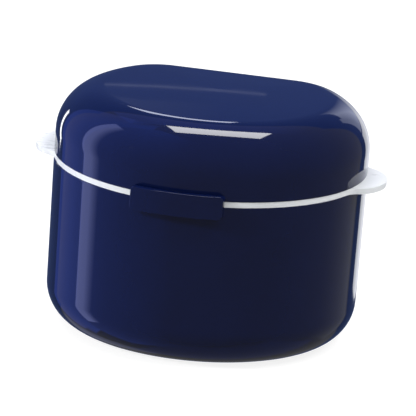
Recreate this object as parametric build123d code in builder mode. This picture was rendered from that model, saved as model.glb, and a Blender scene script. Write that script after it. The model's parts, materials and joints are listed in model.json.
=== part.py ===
from build123d import *

import os
from math import acos, atan2, cos, degrees, hypot, radians, sin

# Denture case: a round box with a flat back, a hinged lid, a snap clasp on the front and a
# lift-out rinse basket whose flange and two ears lie between the base and the lid.
# Millimetres, +Z up, the front towards -Y. The origin lies on the surface the case stands on,
# under the middle of its overall footprint.

# ---- Outside of the case ----
body_radius = 47.5  # round front and sides, in plan
back_distance = 38.0  # centre of that circle to the flat back wall
corner_radius = 24.0  # plan corners between the flat back and the round sides
wall = 2.6  # side walls of base and lid
base_height = 51.0  # resting plane to the flange's underside
base_edge_radius = 12.0  # rounds the wall into the underside
base_draft = 0.6  # degrees, the base narrows downwards
floor_thickness = 2.0
foot_height = 0.8  # the underside's middle is recessed by this
foot_ring_inset = 16.7  # foot ring's inner edge, in from the outline at the rim
lid_height = 21.7  # lid's rim to the middle of its top
lid_edge_radius = 14.0  # rounds the wall into the top
lid_crown_radius = 900.0  # slight dome of the top
lid_thickness = 2.4  # the lid's top

# ---- Rinse basket ----
flange_thickness = 1.7
flange_inset = 0.15  # flange edge inside the case's outline
flange_back = 17.5  # the flange ends this far behind the circle's centre
flange_end_gap = 0.15  # on each side of the joint between flange and raised rim
basket_gap = 0.45  # basket wall to the base's inner wall
basket_wall = 1.5
basket_floor = 1.5
basket_draft = 1.0  # degrees
basket_edge_radius = 9.0
sump_height = 3.2  # base floor to the basket's underside
ear_inset = 2.6  # centre of the ear's ellipse, in from the case's outside
ear_length = 9.1  # semi-axis across the case
ear_width = 13.0  # semi-axis along the case
ear_blend = 1.5  # rounds the corner where an ear leaves the flange
flange_edge = 0.3
drain_radius = 1.6
drain_pitch = 8.0
drain_rings = 3
slot_width = 2.4
slot_height = 16.0
slot_middle = 24.0  # height of the side slots' middle
slot_step = 15.0  # degrees from one side slot to the next
slot_reach = 105.0  # degrees round from the front to the last side slot

# ---- Lid seal ----
seal_inset = 0.7  # groove's outer wall, in from the lid's outside
seal_width = 1.2
seal_depth = 1.2
seal_clearance = 0.04

# ---- Hinge ----
hinge_offset = 4.5  # axis behind the back wall
hinge_pin_radius = 1.0
hinge_press_gap = 0.01  # pin held in the base's knuckles
hinge_running_gap = 0.05  # lid's knuckles turn on the pin
knuckle_radius = 2.75
knuckle_gap = 0.3  # between neighbours along the pin
base_middle_knuckle = 8.0
base_outer_knuckle = 5.0
lid_knuckle = 6.0
web_height = 6.5  # a knuckle's web runs this far up or down the wall
web_gap = 0.2  # web to the plane of the lid's rim
web_root = 0.5  # web sunk into the wall, short of the seal groove
hinge_pin_recess = 0.3  # pin's ends inside the outer knuckles
pin_chamfer = 0.2
lid_opening = 110.0  # degrees
heel_contact = 20.0  # degrees below level where the lid's heel meets the back wall
heel_spread = 10.0  # degrees of round face on the heel
stop_gap = 0.04  # heel to the back wall at full opening

# ---- Clasp ----
clasp_width = 28.0
clasp_height = 7.05
clasp_rise = 2.15  # clasp's top above the lid's rim
clasp_stand_off = 3.0  # outer face in front of the wall
clasp_corner = 1.2
clasp_edge = 0.5
clasp_back_gap = 0.35  # hinge band to the lid's wall
clasp_band = 1.95  # height of the thick band round the pin
clasp_band_round = 0.6
pocket_depth = 1.15  # thin part's inner face, in front of the wall
lip_gap = 0.65  # lip's inner face, in front of the wall
lip_height = 1.25
clasp_pin_radius = 0.5
clasp_pin_distance = 1.35  # pin's centre in front of the wall
clasp_pin_drop = 1.0  # pin's centre below the clasp's top
clasp_pin_length = 12.4
clasp_press_gap = 0.01
clasp_running_gap = 0.05
clasp_end_gap = 0.2  # pin's end to the end of its bore
clasp_slot = 0.8  # the clasp snaps over the pin through this slot
lug_width = 5.0
lug_radius = 0.9
lug_web = 1.0
lug_gap = 0.15
catch_reach = 0.55  # catch rib in front of the wall
catch_half_angle = 11.0  # degrees
catch_height = 1.0
catch_gap = 0.1  # lip's top to the rib's underside

# ---- Levels and centres worked out from the sizes above ----
seam_z = base_height + flange_thickness
top_z = seam_z + lid_height
base_floor_z = foot_height + floor_thickness
basket_under_z = base_floor_z + sump_height
heel_radius = (hinge_offset - stop_gap) / cos(radians(heel_contact))
heel_lead = -(heel_contact + lid_opening)
heel_trail = heel_lead - heel_spread
heel_reach = -heel_radius * cos(radians(heel_trail))
front_reach = body_radius + clasp_stand_off
back_reach = back_distance + hinge_offset + max(knuckle_radius, heel_reach)
centre_y = (front_reach - back_reach) / 2
ear_centre = body_radius - ear_inset
back_y = centre_y + back_distance
hinge_y = back_y + hinge_offset
clasp_top_z = seam_z + clasp_rise
clasp_bottom_z = clasp_top_z - clasp_height
lip_top_z = clasp_bottom_z + lip_height
clasp_pin_y = centre_y - body_radius - clasp_pin_distance
clasp_pin_z = clasp_top_z - clasp_pin_drop
catch_z = lip_top_z + catch_gap
body_axis = Axis((0, centre_y, 0), (0, 0, 1))
half_hinge = base_middle_knuckle / 2 + knuckle_gap + lid_knuckle + knuckle_gap + base_outer_knuckle


# ---- Shared shapes ----
def case_plan(inset):
    """Plan of the case, moved in from its outside by inset."""
    with BuildSketch() as plan:
        with Locations((0, centre_y)):
            Circle(body_radius - inset)
        with Locations((0, back_y - inset)):
            Rectangle(
                3 * body_radius, 3 * body_radius, align=(Align.CENTER, Align.MAX), mode=Mode.INTERSECT
            )
        fillet(plan.vertices().sort_by(Axis.Y)[-2:], radius=corner_radius - inset)
    return plan.sketch


def cup_form(inset, floor_z, edge_radius, draft):
    """Solid of a cup's outside or inside, from the seam down to floor_z, with a rounded floor."""
    with BuildPart() as form:
        with BuildSketch(Plane.XY.offset(seam_z)):
            add(case_plan(inset))
        extrude(amount=-(seam_z - floor_z), taper=draft)
        fillet(form.faces().sort_by(Axis.Z)[0].edges(), radius=edge_radius)
    return form.part


def dome_form(inset, rise, edge_radius, crown_radius):
    """Solid of the lid's outside or inside, from the seam up to a slightly domed top."""
    with BuildPart() as form:
        with BuildSketch(Plane.XY.offset(seam_z)):
            add(case_plan(inset))
        extrude(amount=rise)
        with Locations((0, centre_y, seam_z + rise - crown_radius)):
            Sphere(crown_radius, mode=Mode.INTERSECT)
        fillet(form.faces().sort_by(Axis.Z)[-1].edges(), radius=edge_radius)
    return form.part


def radial_plane(angle):
    """Upright plane through the body's axis, turned by angle from the front; x is outwards."""
    turn = radians(angle)
    return Plane((0, centre_y, 0), x_dir=(sin(turn), -cos(turn), 0), z_dir=(-cos(turn), -sin(turn), 0))


def outward_plane(angle, height):
    """Upright plane at the body's axis that faces outwards at angle from the front; y is up."""
    turn = radians(angle)
    return Plane((0, centre_y, height), x_dir=(cos(turn), sin(turn), 0), z_dir=(sin(turn), -cos(turn), 0))


def draw_knuckle(side):
    """Draw a hinge knuckle and its web to the wall; side is 1 for the lid's and -1 for the base's."""
    depth = hinge_offset + web_root
    tangent = atan2(web_height, depth) + acos(knuckle_radius / hypot(depth, web_height))
    web = [
        (0, 0),
        (depth, web_gap),
        (depth, web_height),
        (knuckle_radius * cos(tangent), knuckle_radius * sin(tangent)),
    ]
    with Locations((hinge_y, seam_z)):
        Circle(knuckle_radius)
        Polygon(*[(-forward, side * up) for forward, up in web], align=None)


def draw_heel():
    """Draw the heel on a lid knuckle that stops against the back wall at full opening."""
    tangent = heel_trail - degrees(acos(knuckle_radius / heel_radius))
    corners = [(heel_radius, heel_lead), (heel_radius, heel_trail), (knuckle_radius, tangent)]
    heel = [(0, 0)] + [(r * cos(radians(a)), r * sin(radians(a))) for r, a in corners]
    with Locations((hinge_y, seam_z)):
        Polygon(*[(-forward, up) for forward, up in heel], align=None)


base_outside = cup_form(0, 0, base_edge_radius, base_draft)
base_inside = cup_form(wall, base_floor_z, base_edge_radius - wall, base_draft)
basket_inset = wall + basket_gap
basket_outside = cup_form(basket_inset, basket_under_z, basket_edge_radius, basket_draft)
basket_inside = cup_form(
    basket_inset + basket_wall,
    basket_under_z + basket_floor,
    basket_edge_radius - basket_wall,
    basket_draft,
)
lid_outside = dome_form(0, lid_height, lid_edge_radius, lid_crown_radius)
lid_inside = dome_form(
    wall, lid_height - lid_thickness, lid_edge_radius - wall, lid_crown_radius - lid_thickness
)


# ---- Base shell: cup, rebated rim, foot ring, catch rib and three hinge knuckles ----
with BuildPart() as base_shell:
    add(base_outside)
    add(base_inside, mode=Mode.SUBTRACT)
    # The front and side rim is lower by the flange; behind it the rim rises to the lid.
    with BuildSketch(Plane.XY.offset(base_height)):
        with Locations((0, centre_y + flange_back + flange_end_gap)):
            Rectangle(3 * body_radius, 3 * body_radius, align=(Align.CENTER, Align.MAX))
    extrude(amount=flange_thickness, mode=Mode.SUBTRACT)
    with BuildSketch():
        add(case_plan(foot_ring_inset))
    extrude(amount=foot_height, mode=Mode.SUBTRACT)
    with BuildSketch(radial_plane(-catch_half_angle)):
        with BuildLine():
            Polyline(
                (body_radius - wall / 2, catch_z),
                (body_radius + catch_reach, catch_z),
                (body_radius + catch_reach, catch_z + catch_height / 3),
                (body_radius, catch_z + catch_height),
                (body_radius - wall / 2, catch_z + catch_height),
                close=True,
            )
        make_face()
    revolve(axis=body_axis, revolution_arc=2 * catch_half_angle)
    outer_start = half_hinge - base_outer_knuckle
    for start, width in (
        (-half_hinge, base_outer_knuckle),
        (-base_middle_knuckle / 2, base_middle_knuckle),
        (outer_start, base_outer_knuckle),
    ):
        with BuildSketch(Plane.YZ.offset(start)):
            draw_knuckle(-1)
        extrude(amount=width)
    with BuildSketch(Plane.YZ.offset(-half_hinge)):
        with Locations((hinge_y, seam_z)):
            Circle(hinge_pin_radius + hinge_press_gap)
    extrude(amount=2 * half_hinge, mode=Mode.SUBTRACT)

# ---- Lid shell: domed cap, seal groove, clasp lug and two hinge knuckles with heels ----
with BuildPart() as lid_shell:
    add(lid_outside)
    add(lid_inside, mode=Mode.SUBTRACT)
    with BuildSketch(Plane.XY.offset(seam_z)):
        add(case_plan(seal_inset))
        add(case_plan(seal_inset + seal_width), mode=Mode.SUBTRACT)
    extrude(amount=seal_depth, mode=Mode.SUBTRACT)
    with BuildSketch(Plane.YZ.offset(-lug_width / 2)):
        with Locations((clasp_pin_y, clasp_pin_z)):
            Circle(lug_radius)
            Rectangle(clasp_pin_distance + seal_inset / 2, lug_web, align=(Align.MIN, Align.CENTER))
            Circle(clasp_pin_radius + clasp_press_gap, mode=Mode.SUBTRACT)
    extrude(amount=lug_width)
    lid_start = base_middle_knuckle / 2 + knuckle_gap
    for start in (-lid_start - lid_knuckle, lid_start):
        with BuildSketch(Plane.YZ.offset(start)):
            draw_knuckle(1)
            draw_heel()
            with Locations((hinge_y, seam_z)):
                Circle(hinge_pin_radius + hinge_running_gap, mode=Mode.SUBTRACT)
        extrude(amount=lid_knuckle)

# ---- Lid seal: flat silicone ring that fills the groove in the lid's rim ----
with BuildPart() as lid_seal:
    with BuildSketch(Plane.XY.offset(seam_z)):
        add(case_plan(seal_inset + seal_clearance))
        add(case_plan(seal_inset + seal_width - seal_clearance), mode=Mode.SUBTRACT)
    extrude(amount=seal_depth)

# ---- Rinse basket: drained cup with a flange on the front and sides, and two ears ----
with BuildPart() as rinse_basket:
    with BuildSketch(Plane.XY.offset(base_height)) as flange_plan:
        add(case_plan(flange_inset))
        with Locations((0, centre_y + flange_back - flange_end_gap)):
            Rectangle(
                3 * body_radius, 3 * body_radius, align=(Align.CENTER, Align.MAX), mode=Mode.INTERSECT
            )
        with Locations((-ear_centre, centre_y), (ear_centre, centre_y)):
            Ellipse(ear_length, ear_width)
        ear_corners = flange_plan.vertices().filter_by(
            lambda v: abs(v.Y - centre_y) < 1.2 * ear_width and abs(v.X) < ear_centre + ear_length / 2
        )
        fillet(ear_corners.filter_by(lambda v: abs(v.Y - centre_y) > ear_width / 2), radius=ear_blend)
    extrude(amount=flange_thickness)
    rim_faces = rinse_basket.faces().filter_by(Axis.Z)
    fillet(rim_faces.edges(), radius=flange_edge)
    add(basket_outside)
    add(basket_inside, mode=Mode.SUBTRACT)
    with BuildSketch(Plane.XY.offset(basket_under_z)):
        with Locations((0, centre_y)):
            Circle(drain_radius)
        for ring in range(1, drain_rings + 1):
            with Locations((0, centre_y)):
                with PolarLocations(ring * drain_pitch, 6 * ring):
                    Circle(drain_radius)
    extrude(amount=basket_floor, mode=Mode.SUBTRACT)
    for step in range(-int(slot_reach / slot_step), int(slot_reach / slot_step) + 1):
        with BuildSketch(outward_plane(step * slot_step, slot_middle)):
            SlotOverall(slot_height, slot_width, rotation=90)
        extrude(amount=body_radius, mode=Mode.SUBTRACT)

# ---- Front clasp: curved plate that snaps onto its pin and hooks its lip under the rib ----
with BuildPart() as front_clasp:
    with BuildSketch(Plane.XZ.offset(-centre_y)):
        with Locations((0, clasp_bottom_z + clasp_height / 2)):
            RectangleRounded(clasp_width, clasp_height, clasp_corner)
    extrude(amount=2 * body_radius)
    with BuildSketch(Plane.XY.offset(clasp_bottom_z)):
        with Locations((0, centre_y)):
            Circle(body_radius + clasp_stand_off)
            Circle(body_radius + clasp_back_gap, mode=Mode.SUBTRACT)
    extrude(amount=clasp_height, mode=Mode.INTERSECT)
    outer_face = front_clasp.faces().sort_by(Axis.Y)[0]
    fillet(outer_face.edges(), radius=clasp_edge)
    with BuildSketch(Plane.XY.offset(clasp_bottom_z)):
        with Locations((0, centre_y)):
            Circle(body_radius + lip_gap)
    extrude(amount=lip_height, mode=Mode.SUBTRACT)
    with BuildSketch(Plane.XY.offset(lip_top_z)):
        with Locations((0, centre_y)):
            Circle(body_radius + pocket_depth)
    extrude(amount=clasp_height - clasp_band - lip_height, mode=Mode.SUBTRACT)
    with BuildSketch(radial_plane(0)):
        band_face = body_radius + clasp_back_gap
        with BuildLine():
            Polyline(
                (band_face + clasp_band_round, clasp_top_z),
                (band_face - clasp_edge, clasp_top_z),
                (band_face - clasp_edge, clasp_top_z - clasp_band_round),
                (band_face, clasp_top_z - clasp_band_round),
            )
            RadiusArc(
                (band_face, clasp_top_z - clasp_band_round),
                (band_face + clasp_band_round, clasp_top_z),
                clasp_band_round,
            )
        make_face()
    revolve(axis=body_axis, revolution_arc=360, mode=Mode.SUBTRACT)
    with BuildSketch(Plane.YZ.offset(-lug_width / 2 - lug_gap)):
        with Locations((clasp_pin_y, clasp_pin_z)):
            Circle(lug_radius + lug_gap)
            Rectangle(3 * clasp_pin_distance, 2 * clasp_band, align=(Align.MIN, Align.CENTER))
    extrude(amount=lug_width + 2 * lug_gap, mode=Mode.SUBTRACT)
    half_bore = clasp_pin_length / 2 + clasp_end_gap
    with BuildSketch(Plane.YZ.offset(-half_bore)):
        with Locations((clasp_pin_y, clasp_pin_z)):
            Circle(clasp_pin_radius + clasp_running_gap)
            Rectangle(3 * clasp_pin_distance, clasp_slot, align=(Align.MIN, Align.CENTER))
    extrude(amount=2 * half_bore, mode=Mode.SUBTRACT)

# ---- Pins: steel, with chamfered ends ----
with BuildPart() as hinge_pin:
    half_pin = half_hinge - hinge_pin_recess
    with BuildSketch(Plane.YZ.offset(-half_pin)):
        with Locations((hinge_y, seam_z)):
            Circle(hinge_pin_radius)
    extrude(amount=2 * half_pin)
    chamfer(hinge_pin.edges().filter_by(GeomType.CIRCLE), length=pin_chamfer)

with BuildPart() as clasp_pin:
    with BuildSketch(Plane.YZ.offset(-clasp_pin_length / 2)):
        with Locations((clasp_pin_y, clasp_pin_z)):
            Circle(clasp_pin_radius)
    extrude(amount=clasp_pin_length)
    chamfer(clasp_pin.edges().filter_by(GeomType.CIRCLE), length=pin_chamfer)

# ---- Files, one for each piece ----
base_shell.part.label = "base_shell"
lid_shell.part.label = "lid_shell"
lid_seal.part.label = "lid_seal"
rinse_basket.part.label = "rinse_basket"
front_clasp.part.label = "front_clasp"
clasp_pin.part.label = "clasp_pin"
hinge_pin.part.label = "hinge_pin"

os.makedirs("parts", exist_ok=True)
for piece in (base_shell, lid_shell, lid_seal, rinse_basket, front_clasp, clasp_pin, hinge_pin):
    export_step(piece.part, f"parts/{piece.part.label}.step")
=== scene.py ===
import json
from math import acos, asin, atan2, cos, hypot, pi, radians, sin, sqrt, tan
from typing import NamedTuple

import bmesh
import bpy
from bpy.props import FloatProperty, FloatVectorProperty, IntProperty, PointerProperty
from bpy.types import Operator, Panel, PropertyGroup
from mathutils import Matrix, Vector


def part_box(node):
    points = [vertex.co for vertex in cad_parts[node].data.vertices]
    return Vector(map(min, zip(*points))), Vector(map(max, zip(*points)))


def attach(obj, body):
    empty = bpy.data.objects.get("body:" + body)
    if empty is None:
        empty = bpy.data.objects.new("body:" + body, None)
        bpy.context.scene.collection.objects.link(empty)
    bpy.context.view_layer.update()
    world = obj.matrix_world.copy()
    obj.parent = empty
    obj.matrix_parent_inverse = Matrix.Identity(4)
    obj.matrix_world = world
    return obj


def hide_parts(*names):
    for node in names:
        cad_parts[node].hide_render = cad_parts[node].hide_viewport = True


bl_info = {
    "name": "Denture Case",
    "version": (1, 0, 0),
    "blender": (4, 5, 0),
    "location": "3D View > Sidebar > Denture Case",
    "description": "Models a hinged denture case with a rinse basket round its CAD frame",
    "category": "Object",
}

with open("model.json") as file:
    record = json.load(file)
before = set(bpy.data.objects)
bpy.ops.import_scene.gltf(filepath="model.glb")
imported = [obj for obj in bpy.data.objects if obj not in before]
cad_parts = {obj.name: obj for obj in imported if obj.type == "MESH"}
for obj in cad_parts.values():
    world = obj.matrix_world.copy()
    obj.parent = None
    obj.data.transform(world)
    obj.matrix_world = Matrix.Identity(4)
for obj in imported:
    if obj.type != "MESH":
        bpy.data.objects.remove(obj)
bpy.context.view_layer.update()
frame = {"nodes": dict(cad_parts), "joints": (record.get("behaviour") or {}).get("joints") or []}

MM = 0.001  # metres in a millimetre
NEAR = 1e-6  # points closer than this are the same place
SPARE = 1 * MM  # how far a cutter reaches past what it cuts
SHARP = radians(60)  # edges that turn by more than this can be rounded
SMOOTH = radians(35)  # edges that turn by less than this are shaded smooth
SLIVER = 0.12 * MM  # what is narrower than this is merged before its edges are rounded
UPRIGHT = 0.5  # faces whose normals rise or fall by less than this are upright
SWEEP_AXIS = (0, 0, -1)  # the spin operator then turns the front towards +X

# ---- How finely curves are drawn ----
SIDE_STEPS = 60  # round the front and a side
CORNER_STEPS = 24  # round a rear corner
CUP_EDGE_STEPS = 16
LID_EDGE_STEPS = 24
DOME_RINGS = 24
RIB_STEPS = 10
CLASP_STEPS = 16
FLANGE_STEPS = 90
SLOT_END_STEPS = 8  # round a quarter of a slot
EAR_SIDES = 96
ROD_SIDES = 48
HOLE_SIDES = 24

# ---- Shares and angles that only help with the modelling ----
ROUND_END = 0.499  # share of a slot's width that rounds its corners, just short of a half circle
EAR_CORE = 0.85  # share of an ear's half width that surely lies inside it
FLANGE_SWEEP = radians(125)  # from the front to past the flange's end, where it is cut straight
CLASP_OVERSWEEP = radians(2)  # past the clasp's ends, which a block then trims

# ---- Places read from the frame ----
lid_joint = next(joint for joint in frame["joints"] if joint["name"] == "lid_hinge")
clasp_joint = next(joint for joint in frame["joints"] if joint["name"] == "clasp_hinge")
seal_low, seal_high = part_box("lid_seal")
clasp_low, clasp_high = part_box("front_clasp")
basket_low, basket_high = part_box("rinse_basket")
lid_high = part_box("lid_shell")[1]

SEAM_Z = lid_joint["pos_m"][2]  # the lid's rim
TOP_Z = lid_high.z
CASE_RADIUS = lid_high.x  # round front and sides
CENTRE_Y = seal_low.y + seal_high.x  # axis of the round front
FRONT_Y = CENTRE_Y - CASE_RADIUS
HINGE_Y = lid_joint["pos_m"][1]
CLASP_PIN_Y = clasp_joint["pos_m"][1]
CLASP_PIN_Z = clasp_joint["pos_m"][2]


def hex_colour(code):
    """Linear RGBA of an sRGB hex colour."""
    parts = [int(code[i : i + 2], 16) / 255 for i in (1, 3, 5)]
    linear = [c / 12.92 if c <= 0.04045 else ((c + 0.055) / 1.055) ** 2.4 for c in parts]
    return (*linear, 1.0)


def length(name, description, millimetres):
    """A length property whose default is given in millimetres."""
    return FloatProperty(name=name, description=description, default=millimetres * MM, unit="LENGTH")


def turn(name, description, angle):
    """An angle property whose default is given in degrees."""
    return FloatProperty(name=name, description=description, default=radians(angle), unit="ROTATION")


def number(name, description, value):
    """A property that is a plain number."""
    return FloatProperty(name=name, description=description, default=value)


def tint(name, description, code):
    """A colour property whose default is an sRGB hex colour."""
    return FloatVectorProperty(
        name=name, description=description, default=hex_colour(code), size=4, subtype="COLOR", min=0, max=1
    )


# ---- Sizes and colours that a user would change ----
class ShellSizes(PropertyGroup):
    """Walls and roundings of the base and the lid"""

    wall: length("Wall", "Thickness of the moulded walls", 2.6)
    corner_radius: length("Rear corners", "Plan radius between the flat back and the round sides", 24.0)
    base_edge: length("Base edge", "Radius that rounds the wall into the underside", 12.0)
    base_draft: turn("Base draft", "Slope of the base's wall, narrower downwards", 0.6)
    foot_inset: length("Foot ring inset", "Foot ring's inner edge, in from the outline", 16.7)
    foot_height: length("Foot height", "Depth of the recess inside the foot ring", 0.8)
    lid_edge: length("Lid edge", "Radius that rounds the wall into the lid's top", 14.0)
    crown_radius: length("Crown radius", "Radius of the lid's slight dome", 900.0)
    rim_round: length("Rim rounding", "Radius on the rims where base and lid meet", 0.25)


class HingeSizes(PropertyGroup):
    """Knuckles, webs and heels of the rear hinge"""

    knuckle_radius: length("Knuckle radius", "Outside of the knuckles", 2.75)
    middle_knuckle: length("Middle knuckle", "Length of the base's middle knuckle", 8.0)
    outer_knuckle: length("Outer knuckle", "Length of each outer knuckle of the base", 5.0)
    lid_knuckle: length("Lid knuckle", "Length of each knuckle of the lid", 6.0)
    gap: length("Knuckle gap", "Space between neighbouring knuckles", 0.3)
    web_height: length("Web height", "How far a knuckle's web runs along the wall", 6.5)
    web_gap: length("Web gap", "Web to the level of the lid's rim", 0.2)
    web_root: length("Web root", "How far a web is sunk into the wall", 0.5)
    wall_gap: length("Hinge offset", "Hinge axis behind the back wall", 4.5)
    heel_radius: length("Heel radius", "Hinge axis to the heel that stops the lid", 4.746)
    heel_lead: turn("Heel lead", "Leading edge of the heel, below level at the front", 130.0)
    heel_spread: turn("Heel spread", "Angle that the heel's face covers", 10.0)
    pin_radius: length("Pin radius", "Radius of the hinge pin", 1.0)
    pin_gap: length("Pin gap", "Running clearance round the pin", 0.05)


class SealSizes(PropertyGroup):
    """Groove and seal in the lid's rim"""

    inset: length("Seal inset", "Groove's outer wall, in from the lid's outside", 0.7)
    depth: length("Seal depth", "Depth of the groove", 1.2)
    clearance: length("Seal clearance", "Seal to each wall of its groove", 0.04)
    edge: length("Seal edge", "Radius on the seal's lips", 0.2)


class BasketSizes(PropertyGroup):
    """Rinse basket with its flange, ears and drain holes"""

    gap: length("Basket gap", "Basket to the base's inner wall", 0.45)
    wall: length("Basket wall", "Thickness of the basket", 1.5)
    edge: length("Basket edge", "Radius that rounds the wall into the floor", 9.0)
    draft: turn("Basket draft", "Slope of the basket's wall", 1.0)
    flange: length("Flange thickness", "Thickness of the flange and the ears", 1.7)
    flange_inset: length("Flange inset", "Flange edge inside the case's outline", 0.15)
    flange_back: length("Flange end", "Where the flange ends, behind the round front's axis", 17.35)
    rim_back: length("Rim step", "Where the base's rim rises to the lid", 17.65)
    flange_round: length("Flange rounding", "Radius on the flange's edges", 0.3)
    ear_inset: length("Ear inset", "Centre of the ear's ellipse, in from the case's outside", 2.6)
    ear_width: length("Ear width", "Half the ear's width, along the case", 13.0)
    ear_blend: turn("Ear blend", "Where round the ear's ellipse its blend into the flange starts", 72.0)
    drain_radius: length("Drain radius", "Radius of the floor's drain holes", 1.6)
    drain_pitch: length("Drain pitch", "Distance from one ring of holes to the next", 8.0)
    drain_rings: IntProperty(name="Drain rings", description="Rings of drain holes", default=3)
    slot_width: length("Slot width", "Width of the side slots", 2.4)
    slot_height: length("Slot height", "Height of the side slots", 16.0)
    slot_middle: length("Slot middle", "Height of the side slots' middle", 24.0)
    slot_step: turn("Slot step", "Angle from one side slot to the next", 15.0)
    slots: IntProperty(name="Side slots", description="Slots on each side of the front one", default=7)


class ClaspSizes(PropertyGroup):
    """Front clasp, its lug on the lid and its catch rib on the base"""

    stand_off: length("Stand-off", "Clasp's outer face in front of the wall", 3.0)
    corner: length("Clasp corner", "Radius of the clasp's corners", 1.2)
    edge: length("Clasp edge", "Radius on the outer face's edge", 0.5)
    back_gap: length("Back gap", "Hinge band to the lid's wall", 0.35)
    band: length("Hinge band", "Height of the thick band round the pin", 1.95)
    band_round: length("Band rounding", "Radius on the band's upper inner edge", 0.6)
    pocket: length("Pocket", "Thin part's inner face in front of the wall", 1.15)
    lip_gap: length("Lip gap", "Lip's inner face in front of the wall", 0.65)
    lip_height: length("Lip height", "Height of the lip", 1.25)
    pin_radius: length("Clasp pin radius", "Radius of the clasp's pin", 0.5)
    pin_gap: length("Clasp pin gap", "Running clearance round the clasp's pin", 0.05)
    bore: length("Clasp bore", "Length of the bore that takes the pin", 12.8)
    slot: length("Snap slot", "Slot through which the clasp snaps over its pin", 0.8)
    lug_width: length("Lug width", "Width of the lid's lug", 5.0)
    lug_radius: length("Lug radius", "Radius of the lug round the pin", 0.9)
    lug_web: length("Lug web", "Thickness of the lug's web", 1.0)
    lug_gap: length("Lug gap", "Lug to the notch in the clasp", 0.15)
    catch_reach: length("Catch reach", "Catch rib in front of the wall", 0.55)
    catch_height: length("Catch height", "Height of the catch rib", 1.0)
    catch_gap: length("Catch gap", "Clasp's lip to the rib's underside", 0.1)
    catch_half: turn("Catch half angle", "Half the angle that the rib covers", 11.0)


class Finishes(PropertyGroup):
    """Colours of the materials"""

    navy: tint("Navy", "Base, lid and clasp", "#061035")
    white: tint("White", "Rinse basket", "#EFF2F5")
    silicone: tint("Silicone", "Lid seal", "#D9DBDD")
    steel: tint("Steel", "Hinge pin and clasp pin", "#A9A9AB")


class StageSettings(PropertyGroup):
    """Camera, lamps and floor"""

    azimuth: turn("Camera azimuth", "Turn of the view round the case, 0 from the front", 10.97)
    elevation: turn("Camera elevation", "Height of the view above level", 15.71)
    roll: turn("Camera roll", "Turn of the picture about the line of sight", 4.38)
    distance: length("Camera distance", "Camera to the middle of the view", 1510.6)
    lens: FloatProperty(name="Focal length", description="Lens of the camera", default=432.7, unit="CAMERA")
    floor_size: length("Floor size", "Edge of the square floor", 12000.0)
    floor_grey: tint("Floor", "Diffuse colour of the floor", "#878787")
    floor_glow: number("Floor glow", "What the floor adds for the camera", 0.85)
    ambient: number("Ambient", "Strength of the room's soft light", 0.57)
    room_grey: number("Room grey", "What reflections see of the room", 0.2)
    lamp_distance: length("Lamp distance", "Case to the lamps", 1600.0)


class CaseSettings(PropertyGroup):
    """All settings of the denture case"""

    shell: PointerProperty(type=ShellSizes)
    hinge: PointerProperty(type=HingeSizes)
    seal: PointerProperty(type=SealSizes)
    basket: PointerProperty(type=BasketSizes)
    clasp: PointerProperty(type=ClaspSizes)
    finish: PointerProperty(type=Finishes)
    stage: PointerProperty(type=StageSettings)


# ---- Modelling helpers ----
def activate(piece):
    """Select one object and nothing else, and make it the active one."""
    bpy.ops.object.select_all(action="DESELECT")
    piece.select_set(True)
    bpy.context.view_layer.objects.active = piece


def open_mesh(piece):
    """Enter the edit mode of a piece with nothing selected."""
    activate(piece)
    bpy.ops.object.mode_set(mode="EDIT")
    bpy.ops.mesh.select_all(action="DESELECT")


def close_mesh():
    """Go back to object mode."""
    bpy.ops.object.mode_set(mode="OBJECT")


def select_all():
    """Select the whole open mesh."""
    bpy.ops.mesh.select_all(action="SELECT")


def select(kind, test):
    """Select the vertices, edges or faces of the open mesh that pass a test, and nothing else."""
    bpy.ops.mesh.select_mode(type=kind)
    bpy.ops.mesh.select_all(action="DESELECT")
    mesh = bpy.context.object.data
    form = bmesh.from_edit_mesh(mesh)
    for part in {"VERT": form.verts, "EDGE": form.edges, "FACE": form.faces}[kind]:
        if test(part):
            part.select_set(True)
    form.select_flush_mode()
    bmesh.update_edit_mesh(mesh)


def extrude(x=0.0, y=0.0, z=0.0):
    """Extrude the selection."""
    bpy.ops.mesh.extrude_region_move(TRANSFORM_OT_translate={"value": (x, y, z)})


def spin(steps, angle, x=0.0, y=CENTRE_Y):
    """Sweep the selection round an upright axis, which is that of the round front unless given."""
    bpy.ops.mesh.spin(steps=steps, angle=angle, center=(x, y, 0), axis=SWEEP_AXIS)


def face_outwards():
    """Turn the faces of the open mesh outwards."""
    select_all()
    bpy.ops.mesh.normals_make_consistent(inside=False)


def keep_outline():
    """Delete the faces of the open mesh and select the edges that are left."""
    select_all()
    bpy.ops.mesh.delete(type="ONLY_FACE")
    select_all()


def select_corner(y, z):
    """Select the corner of the open section at (y, z)."""
    select("VERT", lambda vert: at(vert.co.y, y) and at(vert.co.z, z))


def at(value, place):
    """True if a coordinate is at a place."""
    return abs(value - place) < NEAR


def level(part, z):
    """True if all corners of an edge or a face are at a height."""
    return all(at(vert.co.z, z) for vert in part.verts)


def runs_along_y(edge):
    """True if an edge of a box runs along Y."""
    return not at(edge.verts[0].co.y, edge.verts[1].co.y)


def axis_distance(vert):
    """Distance of a vertex from the upright axis of the round front."""
    return hypot(vert.co.x, vert.co.y - CENTRE_Y)


def added(name):
    """Name the object that was just added and apply its place to its mesh."""
    piece = bpy.context.object
    piece.name = name
    piece.data.name = name
    bpy.ops.object.transform_apply(location=True, rotation=True, scale=True)
    return piece


def add_upright_plane(name, y_low, y_high, z_low, z_high):
    """Add a plane in the middle section of the case."""
    middle = (0, (y_low + y_high) / 2, (z_low + z_high) / 2)
    bpy.ops.mesh.primitive_plane_add(size=1, location=middle, rotation=(0, pi / 2, 0))
    bpy.context.object.scale = (z_high - z_low, y_high - y_low, 1)
    return added(name)


def add_box(name, low, high):
    """Add a box between two corners."""
    low, high = Vector(low), Vector(high)
    bpy.ops.mesh.primitive_cube_add(size=1, location=(low + high) / 2)
    bpy.context.object.scale = high - low
    return added(name)


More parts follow.
